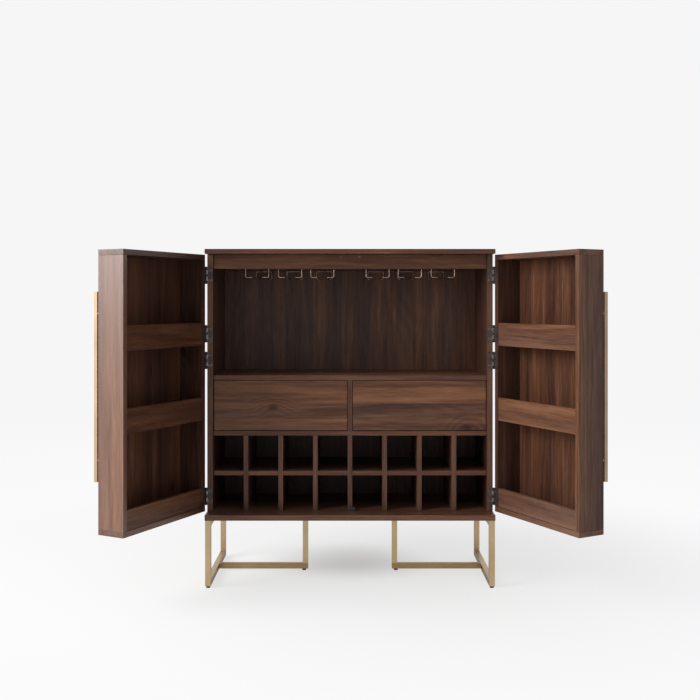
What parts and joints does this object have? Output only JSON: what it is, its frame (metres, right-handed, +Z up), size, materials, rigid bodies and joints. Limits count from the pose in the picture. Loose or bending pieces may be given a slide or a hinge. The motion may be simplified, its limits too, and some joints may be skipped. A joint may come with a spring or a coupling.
{
  "type": "bar cabinet",
  "caption": "Tall walnut bar cabinet on slim square-tube brass legs, with deep bottle-tray doors, hanging stemware racks, push-to-open drawers and a grid of wine bottle cells.",
  "frame": {"origin": "on the floor, on the carcass's centre plane, midway in depth between the free corner of the open left-hand door and the back edge of the top panel", "axes": "+Z up; +X to the right seen from the front, along the cabinet's width; +Y from the front to the back"},
  "size_m": [1.9754, 1.0729, 1.4219],
  "materials": {
    "walnut": "dark oiled walnut, satin",
    "drawer_lining": "pale birch plywood, clear satin lacquer",
    "brushed_brass": "brushed champagne brass, satin",
    "dark_bronze": "dark bronze, satin",
    "rack_bronze": "antique bronze plated wire, satin",
    "runner_steel": "zinc-plated, satin",
    "black_plastic": "moulded black, matt"
  },
  "bodies": {
    "cabinet": {"top_panel": "walnut", "bottom_panel": "walnut", "back_panel": "walnut", "side_panel_left": "walnut", "side_panel_right": "walnut", "top_rail": "walnut", "rack_board": "walnut", "drawer_deck": "walnut", "drawer_divider": "walnut", "cell_deck": "walnut", "bottle_grid": "walnut", "door_catch": "black_plastic", "base_frame_left": "brushed_brass", "foot_left_front": "black_plastic", "foot_left_back": "black_plastic", "foot_left_inner": "black_plastic", "stemware_rack_left_1": "rack_bronze", "stemware_rack_left_2": "rack_bronze", "stemware_rack_left_3": "rack_bronze", "hinge_left_1_case_leaf": "dark_bronze", "hinge_left_2_case_leaf": "dark_bronze", "hinge_left_3_case_leaf": "dark_bronze", "hinge_left_4_case_leaf": "dark_bronze", "drawer_left_runner": "runner_steel", "base_frame_right": "brushed_brass", "foot_right_front": "black_plastic", "foot_right_back": "black_plastic", "foot_right_inner": "black_plastic", "stemware_rack_right_1": "rack_bronze", "stemware_rack_right_2": "rack_bronze", "stemware_rack_right_3": "rack_bronze", "hinge_right_1_case_leaf": "dark_bronze", "hinge_right_2_case_leaf": "dark_bronze", "hinge_right_3_case_leaf": "dark_bronze", "hinge_right_4_case_leaf": "dark_bronze", "drawer_right_runner": "runner_steel"},
    "left_door": {"door_left_frame": "walnut", "door_left_face": "walnut", "door_left_pull": "brushed_brass", "door_left_middle_tray": "walnut", "door_left_upper_tray": "walnut", "hinge_left_1_door_leaf": "dark_bronze", "hinge_left_2_door_leaf": "dark_bronze", "hinge_left_3_door_leaf": "dark_bronze", "hinge_left_4_door_leaf": "dark_bronze"},
    "left_drawer": {"drawer_left_front": "walnut", "drawer_left_box": "drawer_lining"},
    "left_latch": {"drawer_left_latch_plunger": "black_plastic"},
    "right_door": {"door_right_frame": "walnut", "door_right_face": "walnut", "door_right_pull": "brushed_brass", "door_right_middle_tray": "walnut", "door_right_upper_tray": "walnut", "hinge_right_1_door_leaf": "dark_bronze", "hinge_right_2_door_leaf": "dark_bronze", "hinge_right_3_door_leaf": "dark_bronze", "hinge_right_4_door_leaf": "dark_bronze"},
    "right_drawer": {"drawer_right_front": "walnut", "drawer_right_box": "drawer_lining"},
    "right_latch": {"drawer_right_latch_plunger": "black_plastic"}
  },
  "joints": [
    {"name": "left_door_hinge", "type": "hinge", "parent": "cabinet", "child": "left_door", "pos_m": [-0.614, 0.027, 0.307], "axis": [0, 0, -1], "range_deg": [-113, 67]},
    {"name": "right_door_hinge", "type": "hinge", "parent": "cabinet", "child": "right_door", "pos_m": [0.614, 0.027, 0.307], "axis": [0, 0, 1], "range_deg": [-114, 66]},
    {"name": "left_drawer_slide", "type": "slide", "parent": "cabinet", "child": "left_drawer", "axis": [0, -1, 0], "range_m": [0, 0.33]},
    {"name": "right_drawer_slide", "type": "slide", "parent": "cabinet", "child": "right_drawer", "axis": [0, -1, 0], "range_m": [0, 0.33]},
    {"name": "left_latch_slide", "type": "slide", "parent": "cabinet", "child": "left_latch", "axis": [0, 1, 0], "range_m": [0, 0.003], "stiffness_N_per_m": 300},
    {"name": "right_latch_slide", "type": "slide", "parent": "cabinet", "child": "right_latch", "axis": [0, 1, 0], "range_m": [0, 0.003], "stiffness_N_per_m": 300}
  ]
}
